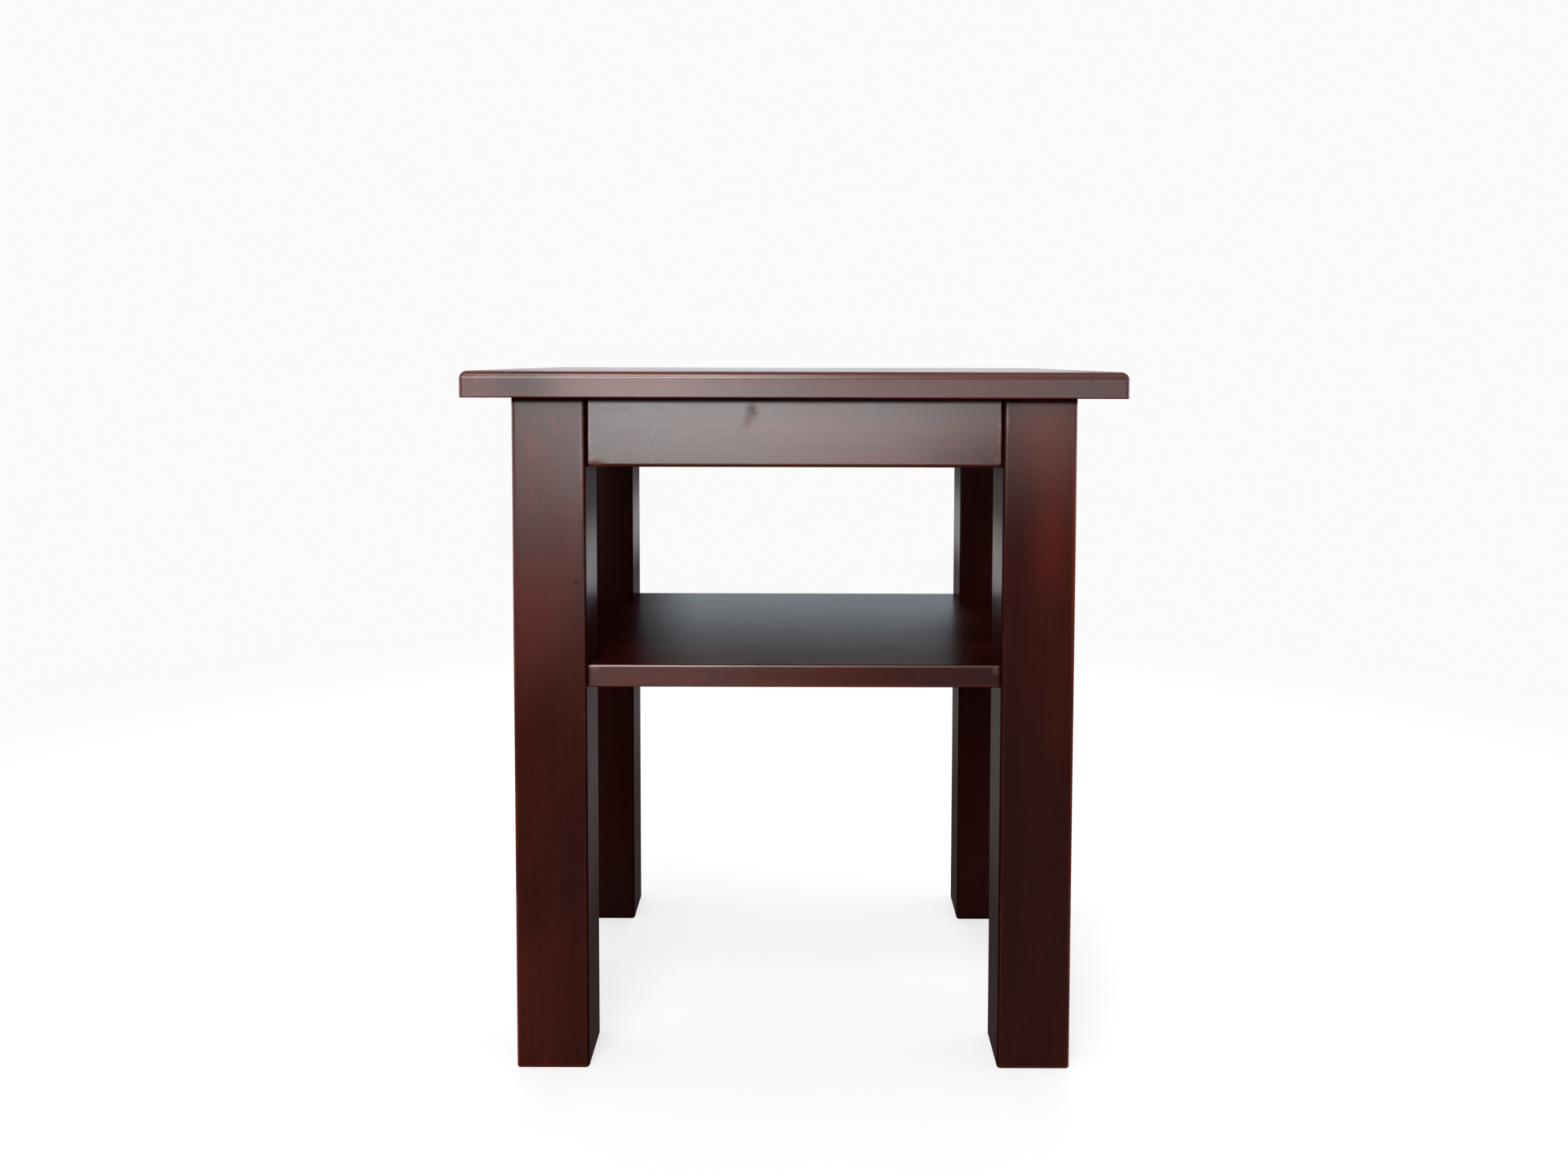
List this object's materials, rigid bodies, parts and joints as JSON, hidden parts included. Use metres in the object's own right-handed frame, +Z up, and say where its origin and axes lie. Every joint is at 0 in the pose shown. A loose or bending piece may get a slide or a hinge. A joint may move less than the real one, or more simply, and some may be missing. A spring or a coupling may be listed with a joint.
{
  "type": "end table with shelf",
  "caption": "Rectangular solid wood end table with an overhanging round-edged top, straight square legs, set-back aprons and a low shelf notched round the legs.",
  "frame": {"origin": "on the floor, below the middle of the top", "axes": "+X to the right along the length of the top as seen from the front, +Y from the front to the rear, +Z up"},
  "size_m": [0.5, 0.4, 0.55],
  "materials": {
    "stained_wood": "dark red-brown stain under satin lacquer",
    "bare_wood": "unfinished planed wood",
    "screw_steel": "zinc-plated"
  },
  "bodies": {
    "root": {"leg_front_left": "stained_wood", "leg_front_right": "stained_wood", "leg_rear_left": "stained_wood", "leg_rear_right": "stained_wood", "apron_front": "stained_wood", "apron_rear": "stained_wood", "apron_left": "stained_wood", "apron_right": "stained_wood", "top_board_1": "stained_wood", "top_board_2": "stained_wood", "top_board_3": "stained_wood", "top_board_4": "stained_wood", "top_board_5": "stained_wood", "shelf_board_1": "stained_wood", "shelf_board_2": "stained_wood", "shelf_board_3": "stained_wood", "shelf_board_4": "stained_wood", "corner_block_front_left": "bare_wood", "corner_block_front_right": "bare_wood", "corner_block_rear_left": "bare_wood", "corner_block_rear_right": "bare_wood", "apron_dowels": "bare_wood", "shelf_dowels": "bare_wood", "block_screws": "screw_steel", "top_screws": "screw_steel"}
  },
  "joints": []
}
